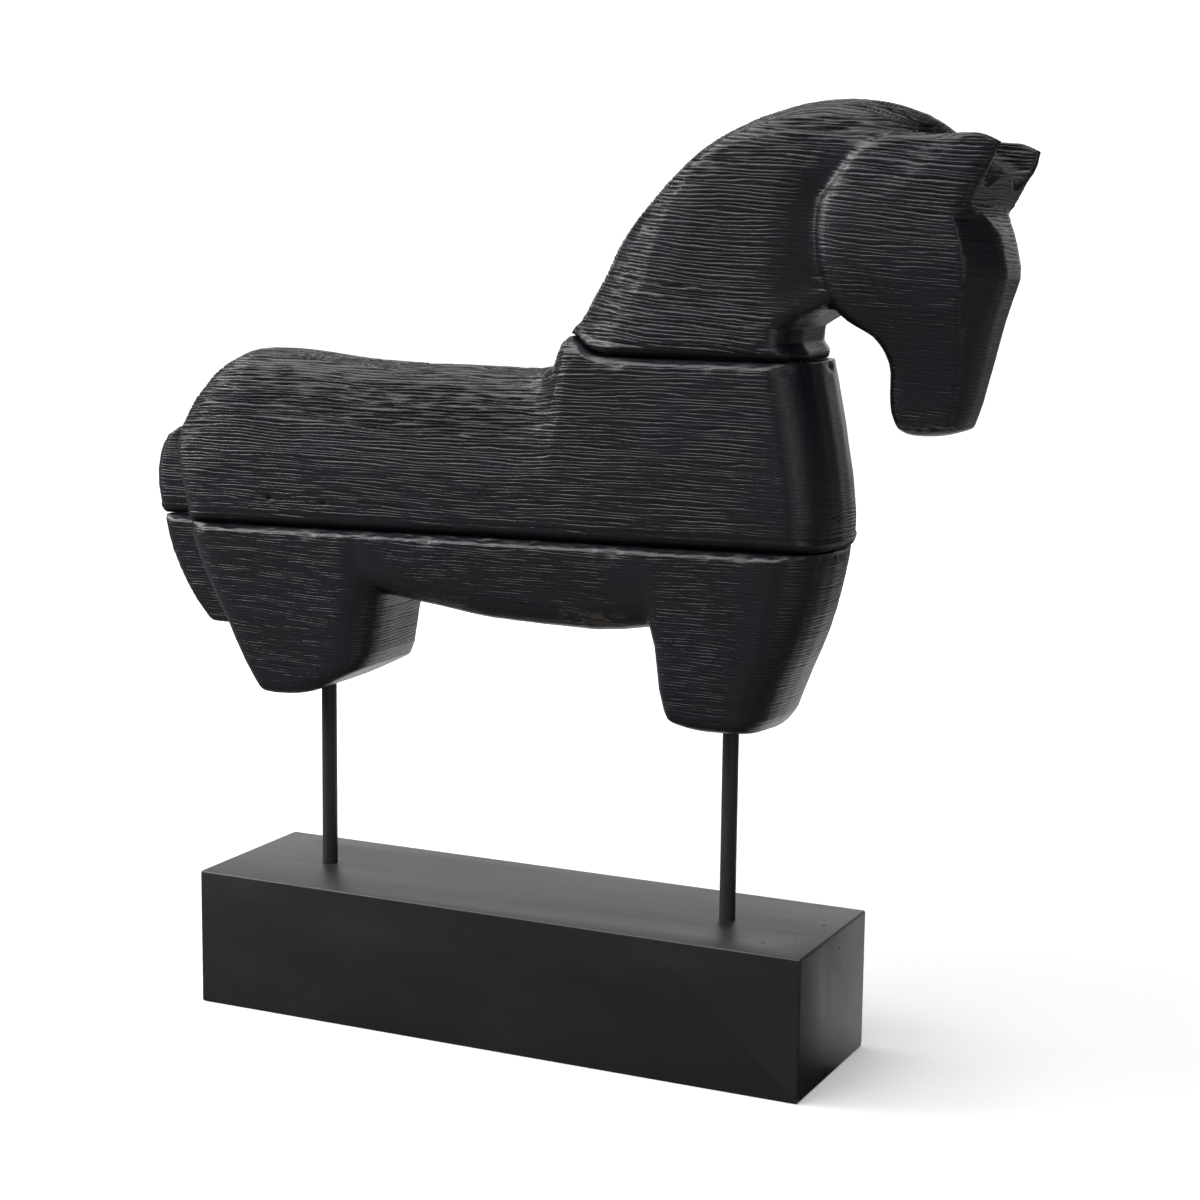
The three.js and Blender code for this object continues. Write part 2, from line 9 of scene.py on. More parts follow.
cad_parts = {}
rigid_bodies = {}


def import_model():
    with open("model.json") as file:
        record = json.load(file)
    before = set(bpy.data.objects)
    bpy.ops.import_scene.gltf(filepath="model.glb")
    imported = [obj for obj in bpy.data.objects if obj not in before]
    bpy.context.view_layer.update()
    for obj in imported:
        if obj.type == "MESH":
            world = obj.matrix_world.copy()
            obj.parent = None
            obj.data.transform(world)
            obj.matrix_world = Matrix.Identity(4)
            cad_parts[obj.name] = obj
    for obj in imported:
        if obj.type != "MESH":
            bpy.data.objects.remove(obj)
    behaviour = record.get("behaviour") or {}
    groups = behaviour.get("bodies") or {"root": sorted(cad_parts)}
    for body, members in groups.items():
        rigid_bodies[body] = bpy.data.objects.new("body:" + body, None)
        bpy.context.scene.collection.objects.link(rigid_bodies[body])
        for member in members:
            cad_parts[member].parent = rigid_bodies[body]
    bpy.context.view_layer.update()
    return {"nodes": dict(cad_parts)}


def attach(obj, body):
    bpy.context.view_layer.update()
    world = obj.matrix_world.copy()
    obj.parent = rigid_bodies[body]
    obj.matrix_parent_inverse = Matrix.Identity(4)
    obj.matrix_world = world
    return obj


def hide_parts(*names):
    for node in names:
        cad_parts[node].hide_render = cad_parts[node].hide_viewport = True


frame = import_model()
started = time.time()


def stage(words):
    print("%5.1f s  %s" % (time.time() - started, words))


mm = 0.001
soleHeight = 0.1765  # the horse's own zero, above the underside of the plinth


# camera, fitted to the plinth's corners

cameraSettings = {
    "around": 25.16,     # degrees, from the side view towards the horse's front
    "above": 9.26,
    "roll": 0.65,
    "across": 0.0388,    # what it looks at: to the right of the middle and up, m
    "up": 0.2325,
    "distance": 1.351,
    "lens": 73.87,       # mm
}


def placeCamera(settings):
    around = math.radians(settings["around"])
    above = math.radians(settings["above"])
    roll = math.radians(settings["roll"])
    level = math.cos(above)
    back = Vector((math.sin(around) * level, -math.cos(around) * level, math.sin(above)))
    right = Vector((math.cos(around), math.sin(around), 0))
    up = back.cross(right)
    rolledRight = right * math.cos(roll) + up * math.sin(roll)
    rolledUp = up * math.cos(roll) - right * math.sin(roll)
    eye = back * settings["distance"] + right * settings["across"] + up * settings["up"]
    bpy.ops.object.camera_add()
    camera = bpy.context.object
    camera.name = "photoCamera"
    turned = Matrix((rolledRight, rolledUp, back)).transposed().to_4x4()
    camera.matrix_world = Matrix.Translation(eye) @ turned
    camera.data.sensor_width = 36
    camera.data.lens = settings["lens"]
    camera.data.clip_end = 50
    bpy.context.scene.camera = camera


# materials

class Signal:
    # a socket: arithmetic on it adds the Math nodes
    def __init__(self, finish, socket):
        self.finish = finish
        self.socket = socket

    def math(self, operation, *values):
        return self.finish.node("ShaderNodeMath", {"operation": operation}, values)

    def __add__(self, other):
        return self.math("ADD", self, other)

    def __radd__(self, other):
        return self.math("ADD", other, self)

    def __sub__(self, other):
        return self.math("SUBTRACT", self, other)

    def __rsub__(self, other):
        return self.math("SUBTRACT", other, self)

    def __mul__(self, other):
        return self.math("MULTIPLY", self, other)

    def __rmul__(self, other):
        return self.math("MULTIPLY", other, self)

    def fraction(self):
        return self.math("FRACT", self)

    def between(self, low, high):
        # 0 at low, 1 at high, smooth in between
        smooth = {"interpolation_type": "SMOOTHSTEP"}
        return self.finish.node("ShaderNodeMapRange", smooth, [self, low, high, 0.0, 1.0])


class Finish:
    def __init__(self, name):
        self.material = bpy.data.materials.new(name)
        self.material.use_nodes = True
        self.tree = self.material.node_tree
        self.surface = self.tree.nodes["Principled BSDF"]
        self.place = self.node("ShaderNodeTexCoord", {}, [], "Object")

    def node(self, kind, settings, values, output=0):
        made = self.tree.nodes.new(kind)
        for name, value in settings.items():
            setattr(made, name, value)
        pairs = values.items() if isinstance(values, dict) else enumerate(values)
        for key, value in pairs:
            self.feed(made.inputs[key], value)
        return Signal(self, made.outputs[output])

    def feed(self, socket, value):
        if isinstance(value, Signal):
            self.tree.links.new(value.socket, socket)
        elif isinstance(value, tuple) and len(value) == 3 and socket.type == "RGBA":
            socket.default_value = (*value, 1)
        else:
            socket.default_value = value

    def set(self, **values):
        for name, value in values.items():
            self.feed(self.surface.inputs[name.replace("_", " ")], value)

    def attribute(self, name):
        return self.node("ShaderNodeAttribute", {"attribute_name": name}, [], "Fac")

    def grain(self, size, detail=2.0, rough=0.5, shift=(0, 0, 0)):
        # noise whose spots are size = (x, y, z) millimetres
        scale = tuple(1000 / s for s in size)
        put = {"Vector": self.place, "Location": shift, "Scale": scale}
        spot = self.node("ShaderNodeMapping", {}, put)
        look = {"Vector": spot, "Scale": 1.0, "Detail": detail, "Roughness": rough}
        return self.node("ShaderNodeTexNoise", {}, look)

    def mix(self, amount, low, high):
        return self.node("ShaderNodeMix", {"data_type": "RGBA"}, {0: amount, 6: low, 7: high}, 2)

    def bump(self, height, distance, strength=1.0):
        look = {"Strength": strength, "Distance": distance, "Height": height}
        return self.node("ShaderNodeBump", {}, look)


def tone(red, green, blue):
    # a colour as it is read off a screen, 0 to 255
    shares = (red / 255, green / 255, blue / 255)
    return tuple(((c + 0.055) / 1.055) ** 2.4 if c > 0.04 else c / 12.92 for c in shares)


ledge = 0.19  # share of the pitch that the lit lip of a gouge mark takes


def oneMark(phase):
    # between two whole numbers: how deep the mark is, a ledge and then a long slope, and where it is dull
    # and darker with painted shade
    along = phase.fraction()
    depth = along.between(0.0, ledge) * (1 - along.between(ledge, 1.0))
    shade = along.between(ledge * 0.5, ledge * 1.2) * (1 - along.between(ledge * 1.2, 0.85))
    return depth, shade


carvedTones = {
    "body": (tone(11, 14, 21), tone(16, 20, 30)),
    # painted shade: the darker colour in the hollow of each mark
    "hollow": tone(9, 10, 13),
    # painted shade: darker colour inside the V grooves' upper sides and in the pits, where the paint is
    # also dull
    "dullAndShaded": tone(11, 12, 15),
    # partly rubbed paint, partly painted highlight: lighter crests between the marks
    "crest": (tone(66, 69, 75), tone(84, 77, 68)),
    "wood": tone(150, 138, 122),
}


def carvedPaint():
    # black paint over gouge marks: crests between two marks are polished and painted lighter, partly as
    # rubbed paint and partly as painted highlight; hollows are dull and painted darker as painted shade
    finish = Finish("carved black paint")
    side = oneMark(finish.attribute("sidePhase"))
    top = oneMark(finish.attribute("topPhase"))
    share = finish.attribute("topShare")
    hollow, shade = [a + (b - a) * share for a, b in zip(side, top)]
    cut = finish.attribute("cut")
    edge = finish.attribute("edge")
    worn = finish.attribute("worn")
    dullAndShaded = finish.attribute("dullAndShaded")
    deep = hollow * cut
    clouds = finish.grain((60, 60, 34), 3)
    specks = finish.grain((5, 5, 1.2), 4, 0.6)
    lines = finish.grain((7, 7, 0.45), 3, 0.6)
    earth = finish.grain((38, 38, 20), 2, 0.5, (7, 3, 0))
    body = finish.mix(clouds.between(0.3, 0.7), *carvedTones["body"])
    # painted shade in each mark's hollow
    body = finish.mix(shade * cut.between(0.0, 0.8) * 0.8, body, carvedTones["hollow"])
    # painted shade inside the V grooves and pits
    body = finish.mix(dullAndShaded * 0.7, body, carvedTones["dullAndShaded"])
    # lighter crests: partly rubbed paint, partly painted highlight
    crests = finish.mix(earth.between(0.45, 0.6), *carvedTones["crest"])
    body = finish.mix((1 - shade) * cut * specks.between(0.47, 0.66) * 0.18, body, crests)
    bare = (0.5 + edge.between(0.25, 0.9) * 0.5) * worn * specks.between(0.44, 0.6)
    body = finish.mix(bare * 0.85, body, carvedTones["wood"])
    relief = finish.bump(lines * (0.5 + cut * 0.4) + specks * 0.4 - deep, 0.00026)
    smooth = 1 - cut.between(0.0, 0.35)
    finish.set(Base_Color=body, Roughness=0.3 + smooth * 0.06, Normal=relief, Specular_IOR_Level=0.75)
    matt = {"Base Color": body, "Roughness": 0.7, "Normal": relief, "Specular IOR Level": 0.1}
    hollowPaint = finish.node("ShaderNodeBsdfPrincipled", {}, matt)
    polish = (1 - shade * cut.between(0.0, 1.0) * 0.9) * (1 - dullAndShaded * 0.9)
    crestPaint = Signal(finish, finish.surface.outputs[0])
    both = finish.node("ShaderNodeMixShader", {}, [polish, hollowPaint, crestPaint])
    finish.tree.links.new(both.socket, finish.tree.nodes["Material Output"].inputs["Surface"])
    return finish.material


plinthTones = {
    "body": (tone(31, 31, 33), tone(38, 38, 40)),
    "smear": tone(60, 53, 48),
    "dust": tone(92, 88, 84),
}


def plinthPaint():
    # satin black over fine straight grain along the block
    finish = Finish("plinth black paint")
    lines = finish.grain((90, 0.9, 0.9), 4, 0.6)
    clouds = finish.grain((120, 40, 30), 3)
    dust = finish.grain((2.2, 2.2, 2.2), 3, 0.6)
    smears = finish.grain((70, 9, 30), 3, 0.6, (3, 5, 0))
    body = finish.mix(clouds.between(0.3, 0.7), *plinthTones["body"])
    body = finish.mix(smears.between(0.45, 0.75) * 0.4, body, plinthTones["smear"])
    body = finish.mix(dust.between(0.66, 0.78) * 0.3, body, plinthTones["dust"])
    rough = 0.33 + lines * 0.1 + clouds * 0.08 + smears * 0.08
    relief = finish.bump(lines + dust * 0.25, 0.00008, 0.6)
    finish.set(Base_Color=body, Roughness=rough, Normal=relief, Specular_IOR_Level=0.8)
    return finish.material


def rodPaint():
    finish = Finish("rod black paint")
    spray = finish.grain((0.7, 0.7, 0.9), 3, 0.6)
    runs = finish.grain((3, 3, 30), 2)
    body = finish.mix(runs.between(0.3, 0.7), tone(56, 56, 58), tone(66, 66, 68))
    finish.set(Base_Color=body, Roughness=0.42 + spray * 0.14, Normal=finish.bump(spray, 0.00005, 0.6))
    return finish.material


def beechWood():
    finish = Finish("dowel beech")
    lines = finish.grain((0.8, 0.8, 22), 4, 0.6)
    flecks = finish.grain((0.5, 0.5, 4), 2)
    body = finish.mix(lines.between(0.35, 0.65), tone(196, 158, 112), tone(214, 180, 136))
    body = finish.mix(flecks.between(0.6, 0.72) * 0.5, body, tone(150, 108, 70))
    finish.set(Base_Color=body, Roughness=0.55 + lines * 0.15, Normal=finish.bump(lines, 0.00008, 0.6))
    return finish.material


def zincSteel():
    finish = Finish("zinc plated steel")
    clouds = finish.grain((2.5, 2.5, 2.5), 3, 0.6)
    turned = finish.grain((0.4, 0.4, 0.12), 2)
    body = finish.mix(clouds.between(0.3, 0.7), tone(150, 152, 156), tone(184, 186, 190))
    relief = finish.bump(turned, 0.00003, 0.5)
    finish.set(Base_Color=body, Metallic=1.0, Roughness=0.3 + clouds * 0.16, Normal=relief)
    return finish.material


# small helps for the modelling

def onlyThis(piece):
    if bpy.context.object and bpy.context.object.mode != "OBJECT":
        bpy.ops.object.mode_set(mode="OBJECT")
    bpy.ops.object.select_all(action="DESELECT")
    piece.select_set(True)
    bpy.context.view_layer.objects.active = piece


def applyModifier(piece, kind, **settings):
    onlyThis(piece)
    bpy.ops.object.modifier_add(type=kind)
    modifier = piece.modifiers[-1]
    for name, value in settings.items():
        setattr(modifier, name, value)
    bpy.ops.object.modifier_apply(modifier=modifier.name)


def applyPlace(piece):
    onlyThis(piece)
    bpy.ops.object.transform_apply(location=True, rotation=True, scale=True)


def copyOfNode(node, name):
    source = frame["nodes"][node]
    onlyThis(source)
    bpy.ops.object.duplicate()
    copied = bpy.context.object
    bpy.ops.object.parent_clear(type="CLEAR_KEEP_TRANSFORM")
    copied.name = name
    copied.data.name = name
    for key in list(copied.keys()):
        del copied[key]
    onlyThis(copied)
    bpy.ops.object.mode_set(mode="EDIT")
    bpy.ops.mesh.select_all(action="SELECT")
    bpy.ops.mesh.remove_doubles(threshold=0.00001)
    bpy.ops.object.mode_set(mode="OBJECT")
    return copied


def dress(piece, material):
    piece.data.materials.clear()
    piece.data.materials.append(material)


def step(low, high, value):
    share = min(1, max(0, (value - low) / (high - low)))
    return share * share * (3 - 2 * share)


def insideBy(outline, x, z):
    # how far (x, z) lies inside the closed outline; negative outside
    nearest = 1e9
    inside = False
    ax, az = outline[-1]
    for bx, bz in outline:
        if (az > z) != (bz > z) and x < (bx - ax) * (z - az) / (bz - az) + ax:
            inside = not inside
        dx, dz = bx - ax, bz - az
        along = ((x - ax) * dx + (z - az) * dz) / (dx * dx + dz * dz)
        along = min(1, max(0, along))
        nearest = min(nearest, math.hypot(x - ax - dx * along, z - az - dz * along))
        ax, az = bx, bz
    return nearest if inside else -nearest


# the horse's three blocks, with their gouge marks

carving = {
    "voxel": 2.3,            # size of the fine mesh's cells along and across, mm
    "stretch": 4.8,          # cells are this many times flatter than wide
    "depth": 0.32,           # of a full mark, mm
    "length": 36.0,          # length scale of a mark, mm
    "fork": 0.8,             # how far marks lead and lag along their length, in pitches
    "wander": 0.18,          # the same over a few millimetres
    "sideSeed": 3.1,         # shifts the noise, so that side and top don't fork alike
    "topSeed": 5.3,
    "bends": ((80, 60, 2.0), (24, 18, 0.3)),  # what bends the marks: width, height, strength, mm
    "upright": (0.28, 0.5),  # share of the depth on upright faces: at least, and what the swell adds
    "tilted": (0.7, 1.7),    # the same on faces that look upwards
    "smoothed": 0.8,         # how much of the marks is gone in a smooth zone
    "edgeSmoothed": 0.9,     # and on a sharp edge
    "unevenness": 0.45,      # slow rise and fall of the whole surface, mm
    "halfWidth": 37.5,       # of the horse's back, mm
    "crowding": 0.3,         # how much closer marks get over the rounded back
    "noJoint": 99,           # taken as the distance to a joint where there is none
    "grooveAbove": 6.5,      # height of the V groove's upper side at each joint, mm
    "grooveBelow": 3.0,      # and of its lower side
    "grooveDepth": 4.5,
    "grooveSeen": 4.2,       # what is left of the upper side
    "grooveFill": 0.55,      # how much of the rest is filled
}

# the groove's lower lip, uneven from and to these depths under the joint and most at one between, mm
lip = {"from": 0.3, "to": 7, "most": 3, "wave": 3.0}

farEar = {"y": 12, "x": 228, "z": 272, "marked": 0.15}  # where its smooth inside begins, mm

# how the face is hollowed between its middle and the temple, with the soft ends of the hollow, mm
temple = {
    "depth": 1.6, "middle": 29.0, "reach": 9.0, "from": 225.0,
    "low": 212.0, "softLow": 12, "high": 266.0, "softHigh": 3,
}

# small pits in the side, dull and darkened with painted shade: place in side view, half width and depth,
# mm
pits = [(-138.3, 108.6, 2.5, 1.8), (-104.2, 108.0, 2.1, 1.5)]


# heights of the two joints between the blocks, mm

def lowerJointAt(x):
    return 96 + 0.018 * x


def upperJointAt(x):
    return 192.3 + 9.5 * (1 - step(34, 56, x))


# Each block's zones are outlines in side view, in mm, with the width of their soft border.
# smooth: hardly any marks; faint: shallower marks, with their share; worn: paint rubbed off to the wood
# slope: how the marks drop towards the front; pitch: from one mark to the next, mm
# frontMarked: faces towards the front aren't left smooth; overTop: heights where marks begin to crowd
# topFrom: how far a face looks upwards where the marks across the top take over
# above, below: the joints the block lies above and below; jointTo: where the first ends towards the front
blocks = {
    "legs_and_belly_block": {
        "name": "carvedLegsAndBelly",
        "slope": 0.0,
        "pitch": 1.65,
        "frontMarked": 1,
        "overTop": None,
        "topFrom": (0.48, 0.62),
        "above": None,
        "below": lowerJointAt,
        "smooth": [
            (5, [(-92, 92), (-70, 84), (-50, 66), (-52, 50), (-72, 8), (-86, 8), (-98, 30), (-90, 60)]),
            (6, [(66, 80), (80, 92), (92, 84), (88, 52), (72, 48), (66, 58)]),
        ],
        "faint": [
            (6, 0.5, [(-240, 110), (260, 110), (260, -10), (-240, -10)]),
            (7, 0.4, [(136, 99), (160, 99), (150, 8), (126, 8)]),
        ],
        "worn": [
            (3, [(-66, 62), (-20, 62), (-20, 46), (-66, 46)]),
            (3, [(36, 60), (72, 60), (72, 44), (36, 44)]),
        ],
    },
    "torso_block": {
        "name": "carvedTorso",
        "slope": 0.0,
        "pitch": 1.8,
        "frontMarked": 0,
        "overTop": (118, 140),
        "topFrom": (0.8, 0.92),
        "above": lowerJointAt,
        "jointTo": 250,
        "below": upperJointAt,
        "smooth": [(6, [(156, 192), (158, 166), (162, 150), (170, 133), (190, 133), (190, 200)])],
        "faint": [
            (10, 0.25, [(144, 192), (148, 160), (142, 118), (146, 97), (166, 97), (190, 140),
                        (190, 200)]),
            (8, 0.62, [(60, 192), (150, 192), (150, 97), (60, 97)]),
            (18, 0.65, [(-240, 148), (60, 148), (60, 90), (-240, 90)]),
        ],
        "worn": [],
    },
    "neck_and_head_block": {
        "name": "carvedNeckAndHead",
        "slope": 0.07,
        "pitch": 1.9,
        "frontMarked": 0,
        "overTop": None,
        "topFrom": (0.48, 0.62),
        "above": upperJointAt,
        "jointTo": 170,
        "below": None,
        "smooth": [
            (8, [(192, 310), (168, 284), (158, 275), (153, 268), (150, 259), (147, 250), (145, 241),
                 (144, 231), (144, 222), (146, 213), (148, 202), (150, 190), (190, 190), (188, 216),
                 (182, 226), (177, 237), (174, 248), (174, 259), (176, 270), (180, 279), (187, 288),
                 (196, 297), (206, 303)]),
        ],
        "faint": [
            (8, 0.6, [(196, 214), (262, 214), (262, 150), (196, 150)]),
            (14, 0.6, [(172, 264), (262, 264), (262, 150), (172, 150)]),
            (6, 0.5, [(246, 268), (270, 268), (270, 205), (242, 205)]),
        ],
        "worn": [
            (2, [(205, 163), (240, 165), (240, 157), (205, 157)]),
        ],
    },
}


def noiseAt(x, y, z, wide, high, shift=(0, 0, 0)):
    # smooth noise, about -1 to 1, in spots this wide and high
    return noise.noise(Vector((x / wide + shift[0], y / wide + shift[1], z / high + shift[2])))


def gougePhase(x, y, z, seed, pitch):
    # whole numbers are the crests between two marks; marks run level, fork, and start anew
    wander = noiseAt(x, y, z, 7, 3, (0, 0, seed)) * carving["wander"]
    lead = noiseAt(x, y, z, carving["length"], 4, (seed, 0, 0)) * carving["fork"]
    return z / pitch + lead + wander


def markDepth(phase):
    # the same profile as oneMark gives the shader
    along = phase - math.floor(phase)
    return step(0, ledge, along) * (1 - step(ledge, 1, along))


def carveBlock(node, settings):
    piece = copyOfNode(node, settings["name"])
    onlyThis(piece)
    stretch = carving["stretch"]
    bpy.ops.object.mode_set(mode="EDIT")
    bpy.ops.mesh.select_all(action="SELECT")
    bpy.ops.transform.resize(value=(1, 1, stretch), center_override=(0, 0, 0))
    bpy.ops.object.mode_set(mode="OBJECT")
    applyModifier(piece, "REMESH", mode="VOXEL", voxel_size=carving["voxel"] * mm, adaptivity=0)
    onlyThis(piece)
    bpy.ops.object.mode_set(mode="EDIT")
    bpy.ops.mesh.select_all(action="SELECT")
    bpy.ops.transform.resize(value=(1, 1, 1 / stretch), center_override=(0, 0, 0))
    bpy.ops.object.mode_set(mode="OBJECT")
    stage("%s remeshed: %d faces" % (settings["name"], len(piece.data.polygons)))
    moveAndMark(piece, settings)
    onlyThis(piece)
    bpy.ops.object.shade_smooth()
    return piece


def inZones(zones, x, z):
    # 1 inside any of the outlines, 0 outside, soft at their borders
    share = 0.0
    for feather, outline in zones:
        share = max(share, step(-feather, feather, insideBy(outline, x, z)))
    return share


def templeHollow(x, y, z, n):
    # only on what faces forwards
    s = temple
    if n.x < 0.3 or x < s["from"] or z < s["low"] - s["softLow"]:
        return 0.0
    across = 1 - min(1, abs(abs(y) - s["middle"]) / s["reach"]) ** 2
    along = step(s["low"] - s["softLow"], s["low"] + s["softLow"], z)
    along *= 1 - step(s["high"] - s["softHigh"], s["high"] + s["softHigh"], z)
    return s["depth"] * across * along


def grooveAt(share):
    # how far the groove is cut in, at this share of its upper side: from the joint outwards
    if share < 0.4:
        return carving["grooveDepth"] * (1 - share * 0.85)
    return carving["grooveDepth"] * max(0, 1.1 - share * 1.1)


def pitAt(x, y, z):
    # on the near side only
    if y > 0:
        return 0.0
    return max(deep * max(0, 1 - math.hypot(x - px, z - pz) / half) for px, pz, half, deep in pits)


def convexity(shape):
    # how sharply the surface turns outwards at each point
    bends = []
    for v in shape.verts:
        bend = 0.0
        for link in v.link_edges:
            other = link.other_vert(v)
            gap = other.co - v.co
            bend += (other.normal - v.normal).dot(gap) / max(1e-12, gap.length_squared)
        bends.append(bend / max(1, len(v.link_edges)) / 1000)
    spread = []
    for v in shape.verts:
        around = [bends[link.other_vert(v).index] for link in v.link_edges]
        spread.append((bends[v.index] + sum(around)) / (1 + len(around)))
    return [min(1, max(0, bend * 4)) for bend in spread]  # a quarter per mm is a sharp edge


def strengthAt(x, y, z, n, over, under, settings):
    # how much of the marks is left here, 0 to 1
    sideShare = 1 - settings["frontMarked"] * step(0.4, 0.7, n.x)
    strength = 1 - carving["smoothed"] * inZones(settings["smooth"], x, z) * sideShare
    for feather, share, outline in settings["faint"]:
        strength *= 1 - (1 - share) * inZones([(feather, outline)], x, z)
    strength *= step(carving["grooveSeen"] - 2.0, carving["grooveSeen"], over)
    strength *= step(carving["grooveBelow"] - 0.6, carving["grooveBelow"] + 1.2, under)
    if y > farEar["y"] and x > farEar["x"] and z > farEar["z"] and n.x > 0.2:
        strength *= farEar["marked"]
    return strength


def cutAt(x, y, level, n, strength, edge):
    # how deep the marks are here: they swell and thin out, and bite deeper where the face looks upwards
    swell = step(-0.4, 0.35, noiseAt(x, y, level, 14, 1.9, (4, 0, 0)))
    tilted = step(0.02, 0.4, n.z)
    low, more = carving["upright"]
    lowTilted, moreTilted = carving["tilted"]
    cut = strength * ((low + more * swell) * (1 - tilted) + (lowTilted + moreTilted * swell) * tilted)
    return cut * (1 - carving["edgeSmoothed"] * edge)


def lipWave(x, y, under):
    if not lip["from"] < under < lip["to"]:
        return 0.0
    wave = max(0, noiseAt(x, y, 0, 12, 1))
    wave += max(0, noiseAt(x, y, 0, 4, 1, (0, 0, 9))) * 0.4
    return lip["wave"] * wave * (1 - abs(under - lip["most"]) / (lip["to"] - lip["most"]))


def grooveFill(n, over):
    # narrows the upper side of the groove
    sideways = Vector((n.x, n.y, 0))
    if not 0 <= over < carving["grooveAbove"] or sideways.length <= 0.35:
        return Vector((0, 0, 0))
    fill = grooveAt(over / carving["grooveAbove"]) - grooveAt(over / carving["grooveSeen"])
    return sideways.normalized() * (fill * carving["grooveFill"] * mm)


def moveAndMark(piece, settings):
    shape = bmesh.new()
    shape.from_mesh(piece.data)
    shape.normal_update()
    shape.verts.ensure_lookup_table()
    shape.verts.index_update()
    pitch = settings["pitch"]
    marked = {name: [] for name in ("sidePhase", "topPhase", "topShare", "cut", "worn", "dullAndShaded")}
    marked["edge"] = convexity(shape)
    moves = []
    for v in shape.verts:
        x, y, z = v.co.x * 1000, v.co.y * 1000, (v.co.z - soleHeight) * 1000
        n = v.normal
        nearJoint = settings["above"] and x < settings["jointTo"]
        over = z - settings["above"](x) if nearJoint else carving["noJoint"]
        under = settings["below"](x) - z if settings["below"] else carving["noJoint"]
        strength = strengthAt(x, y, z, n, over, under, settings)
        warp = 0.0
        for wide, high, much in carving["bends"]:
            warp += noiseAt(x, y, z, wide, high) * much
        level = z + settings["slope"] * x + warp
        if settings["overTop"]:
            narrower = carving["halfWidth"] - abs(y)
            level += carving["crowding"] * narrower * step(*settings["overTop"], z)
        sidePhase = gougePhase(x, y, level, carving["sideSeed"], pitch)
        topShare = step(*settings["topFrom"], n.z * n.z)
        topPhase = gougePhase(x, z, y + warp, carving["topSeed"], pitch) if topShare else sidePhase
        hollow = markDepth(sidePhase)
        hollow += (markDepth(topPhase) - hollow) * topShare
        cut = cutAt(x, y, level, n, strength, marked["edge"][v.index])
        pit = pitAt(x, y, z)
        # dull and painted darker as shade inside the V groove's upper side; the pits get the same below
        dullAndShaded = 1 - step(carving["grooveSeen"] - 2.7, carving["grooveSeen"] - 1.0, over)
        slow = 0.5 + 0.5 * noiseAt(x, y, z, 26, 17, (0, 7, 0))
        depth = hollow * cut * carving["depth"] + slow * carving["unevenness"]
        depth += templeHollow(x, y, z, n) + pit
        depth += lipWave(x, y, under)
        moves.append(n * (-depth * mm) + grooveFill(n, over))
        values = {"sidePhase": sidePhase, "topPhase": topPhase, "topShare": topShare, "cut": cut,
                  "worn": inZones(settings["worn"], x, z), "dullAndShaded": max(dullAndShaded, min(1, pit))}
        for name, value in values.items():
            marked[name].append(value)
    for v, move in zip(shape.verts, moves):
        v.co += move
    shape.to_mesh(piece.data)
    shape.free()
    for name, values in marked.items():
        layer = piece.data.attributes.new(name, "FLOAT", "POINT")
        layer.data.foreach_set("value", values)


# plinth and rods, all in mm

plinthSettings = {
    "length": 356.0,
    "height": 75.5,
    "front": (-49.0, -7.06),   # each board's two faces
    "rear": (-6.96, 49.0),
    "arris": 1.3,              # radius of the rounded edges
    "rods": (-123.5, 118.5),   # where the rods stand
    "rodHole": 8.8,            # diameters
    "boltHole": 4.8,
    "counterbore": 11.0,
    "counterboreDepth": 20.0,
    "woodOverBolt": 10.5,      # between the counterbore and the rod
}


def cutWith(piece, cutter):
    applyPlace(cutter)
    applyModifier(piece, "BOOLEAN", object=cutter, operation="DIFFERENCE", solver="EXACT")
    bpy.data.objects.remove(cutter)


def drill(piece, x, low, high, diameter):
    bpy.ops.object.select_all(action="DESELECT")
    bpy.ops.mesh.primitive_cylinder_add(vertices=64, radius=diameter / 2 * mm, depth=(high - low) * mm,
                                        location=(x * mm, 0, (low + high) / 2 * mm))
    cutWith(piece, bpy.context.object)


# nicks and pits: place and half sizes
plinthWear = {
    "plinthFront": [
        ((178.6, -49.6, 3.0), (2.4, 2.0, 3.4)),
        ((-178.6, -49.6, 50.0), (1.3, 1.1, 3.0)),
        ((151.0, -31.0, 75.9), (1.3, 0.9, 0.9)),
        ((163.0, -17.0, 75.8), (0.8, 0.8, 0.7)),
        ((178.3, -22.0, 70.5), (0.7, 1.2, 0.7)),
        ((96.0, -49.6, 75.9), (3.5, 0.9, 0.8)),
        ((-60.0, -49.6, 75.9), (2.4, 0.8, 0.7)),
    ],
    "plinthRear": [
        ((179.4, 49.8, 0.2), (3.4, 3.4, 3.6)),
        ((168.0, 12.0, 75.8), (0.9, 1.4, 0.8)),
        ((178.3, 8.0, 66.0), (0.7, 0.9, 0.8)),
        ((-140.0, 30.0, 75.8), (1.1, 0.8, 0.7)),
    ],
}


def nick(piece, place, size):
    bpy.ops.object.select_all(action="DESELECT")
    bpy.ops.mesh.primitive_ico_sphere_add(subdivisions=2, radius=mm, location=[c * mm for c in place])
    ball = bpy.context.object
    ball.scale = size
    ball.rotation_euler = (place[0], place[1] * 0.1, place[2])  # each turned another way
    cutWith(piece, ball)


